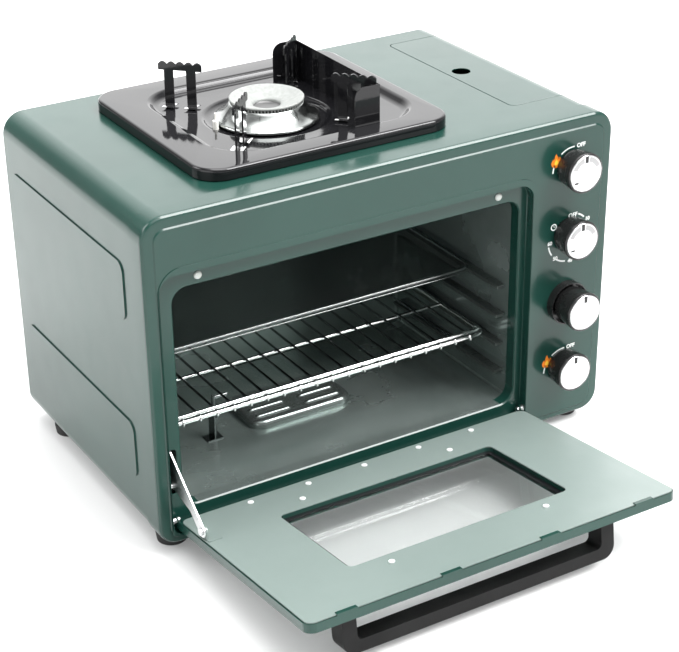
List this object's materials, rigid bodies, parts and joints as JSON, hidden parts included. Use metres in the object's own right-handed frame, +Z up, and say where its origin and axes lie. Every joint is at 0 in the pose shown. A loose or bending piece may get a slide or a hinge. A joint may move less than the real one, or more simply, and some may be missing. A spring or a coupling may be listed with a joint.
{
  "type": "camp oven",
  "caption": "Tabletop gas camp oven with a drop-down glazed door, pull-out rack and tray, side gas bay with lid, control knobs and a single-burner stove on top.",
  "frame": {"origin": "middle of the whole outline on the table, with the door open as in the rest pose", "axes": "+Z up, +Y from the door side to the back, +X towards the control panel"},
  "size_m": [0.4774, 0.519, 0.368],
  "materials": {
    "green_paint": "semi-gloss dark green enamel",
    "inner_paint": "satin light grey-green paint on the door's inner sheet",
    "liner_steel": "smooth grey coated steel, darkened",
    "zinc_steel": "bright zinc-plated steel",
    "chrome_wire": "bright chrome wire",
    "black_enamel": "gloss black enamel",
    "tray_enamel": "dark gloss enamel",
    "cast_alloy": "polished pressed alloy",
    "burner_black": "dark slotted ring",
    "brass": "plain brass",
    "rubber": "matte black rubber",
    "bumper_grey": "soft light grey",
    "handle_black": "matte black",
    "knob_black": "satin black",
    "knob_silver": "spun silver disc",
    "window": "clear toughened glass",
    "mineral_wool": "mineral wool",
    "ceramic_white": "white ceramic",
    "timer_body": "ivory plastic",
    "lever_red": "red painted steel"
  },
  "bodies": {
    "cabinet": {"outer_shell": "green_paint", "base_plate": "green_paint", "back_panel": "green_paint", "front_frame": "green_paint", "oven_liner": "liner_steel", "rack_rails": "liner_steel", "burner_cover": "liner_steel", "insulation": "mineral_wool", "divider_wall": "zinc_steel", "rubber_feet": "rubber", "cabinet_screws": "zinc_steel", "door_bumpers": "bumper_grey", "stay_guide": "zinc_steel", "drip_tray": "black_enamel", "pan_supports": "black_enamel", "support_tabs": "chrome_wire", "wind_shield": "black_enamel", "stove_burner_cup": "cast_alloy", "stove_burner_head": "burner_black", "stove_burner_cap": "cast_alloy", "stove_mixing_tube": "zinc_steel", "stove_igniter": "ceramic_white", "oven_burner": "zinc_steel", "flame_sensor": "zinc_steel", "gas_regulator": "cast_alloy", "gas_pipes": "brass", "stove_valve": "brass", "oven_valve": "brass", "timer_unit": "timer_body", "safety_valve": "brass", "button_guide": "knob_black", "canister_cradle": "zinc_steel", "lid_hinge_pin": "zinc_steel", "hinge_pins": "zinc_steel"},
    "door": {"door_outer": "green_paint", "door_inner": "inner_paint", "window_glass": "window", "glass_retainer": "black_enamel", "door_handle": "handle_black", "handle_screws": "zinc_steel", "door_screws": "zinc_steel", "stay_bracket": "zinc_steel", "stay_rivet": "zinc_steel"},
    "stay": {"stay_arm": "zinc_steel"},
    "stove_control": {"stove_knob": "knob_black", "stove_knob_face": "knob_silver", "stove_spindle": "zinc_steel"},
    "timer_control": {"timer_knob": "knob_black", "timer_knob_face": "knob_silver", "timer_spindle": "zinc_steel"},
    "oven_control": {"oven_knob": "knob_black", "oven_knob_face": "knob_silver", "oven_spindle": "zinc_steel"},
    "safety_control": {"safety_button": "knob_black", "button_face": "knob_silver", "button_rod": "zinc_steel"},
    "lid": {"gas_lid": "green_paint"},
    "lever": {"canister_lever": "lever_red"},
    "rack": {"wire_rack": "chrome_wire"},
    "tray": {"baking_tray": "tray_enamel"}
  },
  "joints": [
    {"name": "door_hinge", "type": "hinge", "parent": "cabinet", "child": "door", "pos_m": [-0.0373, -0.03035, 0.032], "axis": [1, 0, 0], "range_deg": [-83, 0]},
    {"name": "stay_pivot", "type": "hinge", "parent": "door", "child": "stay", "pos_m": [-0.21955, -0.07859, 0.04689], "axis": [1, 0, 0], "range_deg": [0, 41.5]},
    {"name": "stove_knob_turn", "type": "hinge", "parent": "cabinet", "child": "stove_control", "pos_m": [0.192, -0.03385, 0.2735], "axis": [0, -1, 0], "range_deg": [0, 180]},
    {"name": "timer_knob_turn", "type": "hinge", "parent": "cabinet", "child": "timer_control", "pos_m": [0.192, -0.03385, 0.207], "axis": [0, 1, 0], "range_deg": [0, 300]},
    {"name": "oven_knob_turn", "type": "hinge", "parent": "cabinet", "child": "oven_control", "pos_m": [0.192, -0.03385, 0.0697], "axis": [0, -1, 0], "range_deg": [0, 180]},
    {"name": "safety_button_push", "type": "slide", "parent": "cabinet", "child": "safety_control", "axis": [0, 1, 0], "range_m": [0, 0.005], "stiffness_N_per_m": 400, "springref_m": -0.002},
    {"name": "gas_lid_hinge", "type": "hinge", "parent": "cabinet", "child": "lid", "pos_m": [0.23, 0.1279, 0.258], "axis": [0, 1, 0], "range_deg": [0, 90]},
    {"name": "canister_lever_turn", "type": "hinge", "parent": "cabinet", "child": "lever", "pos_m": [0.199, 0.01965, 0.283], "axis": [0, -1, 0], "range_deg": [0, 25]},
    {"name": "rack_slide", "type": "slide", "parent": "cabinet", "child": "rack", "axis": [0, -1, 0], "range_m": [0, 0.15]},
    {"name": "baking_tray_slide", "type": "slide", "parent": "cabinet", "child": "tray", "axis": [0, -1, 0], "range_m": [0, 0.12]}
  ],
  "couplings": [
    {"joint": "stay_pivot", "follows": "door_hinge", "ratio": -0.5}
  ]
}
